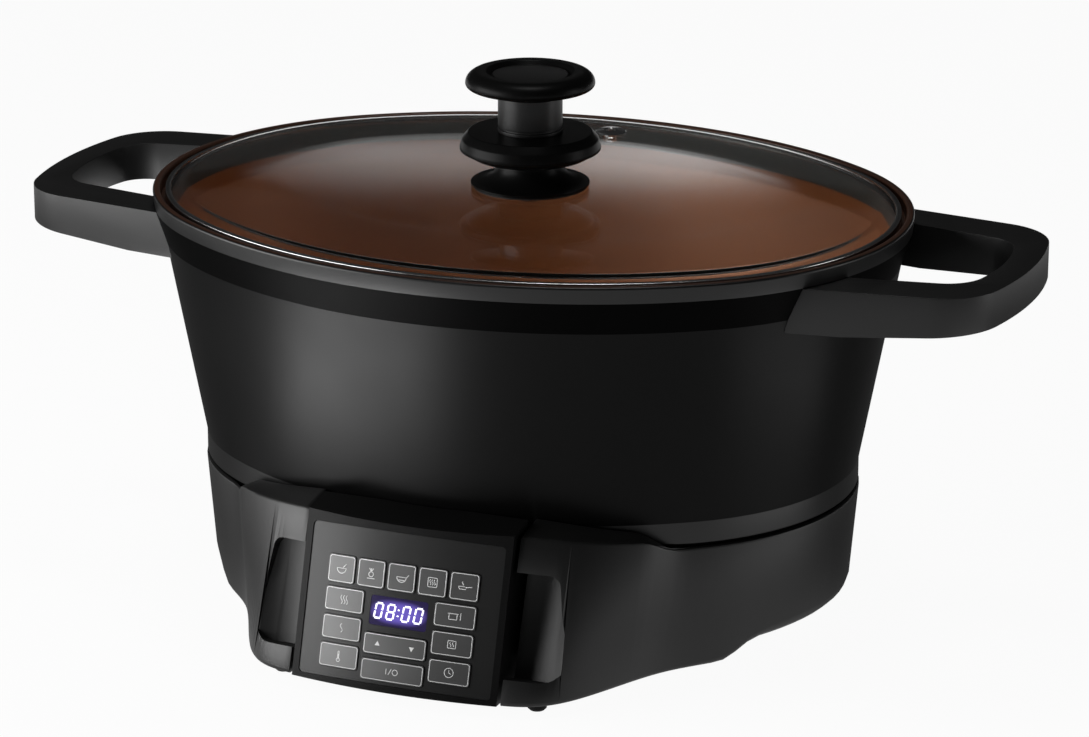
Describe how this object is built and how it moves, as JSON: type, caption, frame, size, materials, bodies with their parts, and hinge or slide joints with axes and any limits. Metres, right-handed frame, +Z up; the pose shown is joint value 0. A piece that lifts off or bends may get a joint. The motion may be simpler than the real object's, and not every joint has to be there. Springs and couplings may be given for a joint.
{
  "type": "multicooker",
  "caption": "Oval countertop multicooker: coated pot with loop handles and a lift-off glass lid, standing on a heated base with a leaning panel of push keys and a rocker.",
  "frame": {"origin": "on the table, under the middle of the whole; the pot's axis is 9.25 mm behind it", "axes": "+X along the long side from handle to handle, +Y to the back, so the panel faces -Y, +Z up"},
  "size_m": [0.467, 0.2974, 0.2436],
  "materials": {
    "clear_glass": "clear tempered glass, slightly grey",
    "steel": "bright steel",
    "soft_rubber": "matt black",
    "knob_plastic": "satin black",
    "pot_coating": "satin black outside, copper-brown non-stick inside",
    "handle_plastic": "satin black",
    "housing_plastic": "satin black",
    "panel_plastic": "dark gloss",
    "key_plastic": "dark gloss with pale outlines",
    "display_tint": "violet tinted window",
    "inner_plastic": "plain mouldings",
    "circuit_board": "green board",
    "plate_alloy": "cast and pressed aluminium",
    "element_steel": "dark oxidised sheath",
    "ceramic": "pale ceramic"
  },
  "bodies": {
    "base": {"base_housing": "housing_plastic", "bottom_cover": "housing_plastic", "feet": "soft_rubber", "cover_screws": "steel", "cord_gland": "soft_rubber", "control_pod": "housing_plastic", "fascia": "panel_plastic", "display_window": "display_tint", "display_module": "inner_plastic", "control_board": "circuit_board", "key_switches": "inner_plastic", "board_screws": "steel", "rocker_bracket": "inner_plastic", "rocker_pin": "steel", "ribbon_cable": "inner_plastic", "heating_plate": "plate_alloy", "heating_element": "element_steel", "heat_shield": "plate_alloy", "plate_posts": "steel", "plate_screws": "steel", "sensor_guide": "steel", "thermal_fuse": "ceramic", "power_board": "circuit_board", "relay": "inner_plastic", "terminal_block": "ceramic"},
    "pot": {"pot_shell": "pot_coating", "left_handle": "handle_plastic", "right_handle": "handle_plastic", "handle_screws": "steel"},
    "lid": {"lid_glass": "clear_glass", "lid_rim": "steel", "vent_eyelet": "steel", "knob_gasket": "soft_rubber", "knob_foot": "knob_plastic", "knob_collar": "knob_plastic", "knob_stem": "knob_plastic", "knob_grip": "knob_plastic", "knob_cap": "knob_plastic", "knob_washer": "steel", "knob_screw": "steel"},
    "sensor": {"sensor_cap": "plate_alloy", "sensor_spring": "steel"},
    "mode_key_1": {"mode_key_1": "key_plastic"},
    "mode_key_2": {"mode_key_2": "key_plastic"},
    "mode_key_3": {"mode_key_3": "key_plastic"},
    "mode_key_4": {"mode_key_4": "key_plastic"},
    "mode_key_5": {"mode_key_5": "key_plastic"},
    "left_key_1": {"left_key_1": "key_plastic"},
    "left_key_2": {"left_key_2": "key_plastic"},
    "left_key_3": {"left_key_3": "key_plastic"},
    "right_key_1": {"right_key_1": "key_plastic"},
    "right_key_2": {"right_key_2": "key_plastic"},
    "right_key_3": {"right_key_3": "key_plastic"},
    "power_key": {"power_key": "key_plastic"},
    "rocker": {"adjust_rocker": "key_plastic"}
  },
  "joints": [
    {"name": "pot_lift", "type": "slide", "parent": "base", "child": "pot", "axis": [0, 0, 1], "range_m": [0, 0.15]},
    {"name": "lid_lift", "type": "slide", "parent": "pot", "child": "lid", "axis": [0, 0, 1], "range_m": [0, 0.13]},
    {"name": "sensor_press", "type": "slide", "parent": "base", "child": "sensor", "axis": [0, 0, 1], "range_m": [-0.0025, 0], "stiffness_N_per_m": 400, "springref_m": 0.004, "deforming": ["sensor_spring"]},
    {"name": "mode_key_1_press", "type": "slide", "parent": "base", "child": "mode_key_1", "axis": [0, 0.9593, -0.2823], "range_m": [0, 0.0006], "stiffness_N_per_m": 1500, "springref_m": -0.0004},
    {"name": "mode_key_2_press", "type": "slide", "parent": "base", "child": "mode_key_2", "axis": [0, 0.9593, -0.2823], "range_m": [0, 0.0006], "stiffness_N_per_m": 1500, "springref_m": -0.0004},
    {"name": "mode_key_3_press", "type": "slide", "parent": "base", "child": "mode_key_3", "axis": [0, 0.9593, -0.2823], "range_m": [0, 0.0006], "stiffness_N_per_m": 1500, "springref_m": -0.0004},
    {"name": "mode_key_4_press", "type": "slide", "parent": "base", "child": "mode_key_4", "axis": [0, 0.9593, -0.2823], "range_m": [0, 0.0006], "stiffness_N_per_m": 1500, "springref_m": -0.0004},
    {"name": "mode_key_5_press", "type": "slide", "parent": "base", "child": "mode_key_5", "axis": [0, 0.9593, -0.2823], "range_m": [0, 0.0006], "stiffness_N_per_m": 1500, "springref_m": -0.0004},
    {"name": "left_key_1_press", "type": "slide", "parent": "base", "child": "left_key_1", "axis": [0, 0.9593, -0.2823], "range_m": [0, 0.0006], "stiffness_N_per_m": 1500, "springref_m": -0.0004},
    {"name": "left_key_2_press", "type": "slide", "parent": "base", "child": "left_key_2", "axis": [0, 0.9593, -0.2823], "range_m": [0, 0.0006], "stiffness_N_per_m": 1500, "springref_m": -0.0004},
    {"name": "left_key_3_press", "type": "slide", "parent": "base", "child": "left_key_3", "axis": [0, 0.9593, -0.2823], "range_m": [0, 0.0006], "stiffness_N_per_m": 1500, "springref_m": -0.0004},
    {"name": "right_key_1_press", "type": "slide", "parent": "base", "child": "right_key_1", "axis": [0, 0.9593, -0.2823], "range_m": [0, 0.0006], "stiffness_N_per_m": 1500, "springref_m": -0.0004},
    {"name": "right_key_2_press", "type": "slide", "parent": "base", "child": "right_key_2", "axis": [0, 0.9593, -0.2823], "range_m": [0, 0.0006], "stiffness_N_per_m": 1500, "springref_m": -0.0004},
    {"name": "right_key_3_press", "type": "slide", "parent": "base", "child": "right_key_3", "axis": [0, 0.9593, -0.2823], "range_m": [0, 0.0006], "stiffness_N_per_m": 1500, "springref_m": -0.0004},
    {"name": "power_key_press", "type": "slide", "parent": "base", "child": "power_key", "axis": [0, 0.9593, -0.2823], "range_m": [0, 0.0006], "stiffness_N_per_m": 1500, "springref_m": -0.0004},
    {"name": "adjust_rock", "type": "hinge", "parent": "base", "child": "rocker", "pos_m": [0, -0.13653, 0.02331], "axis": [0, 0.2823, 0.9593], "range_deg": [-2.5, 2.5], "stiffness_Nm_per_rad": 0.34}
  ]
}
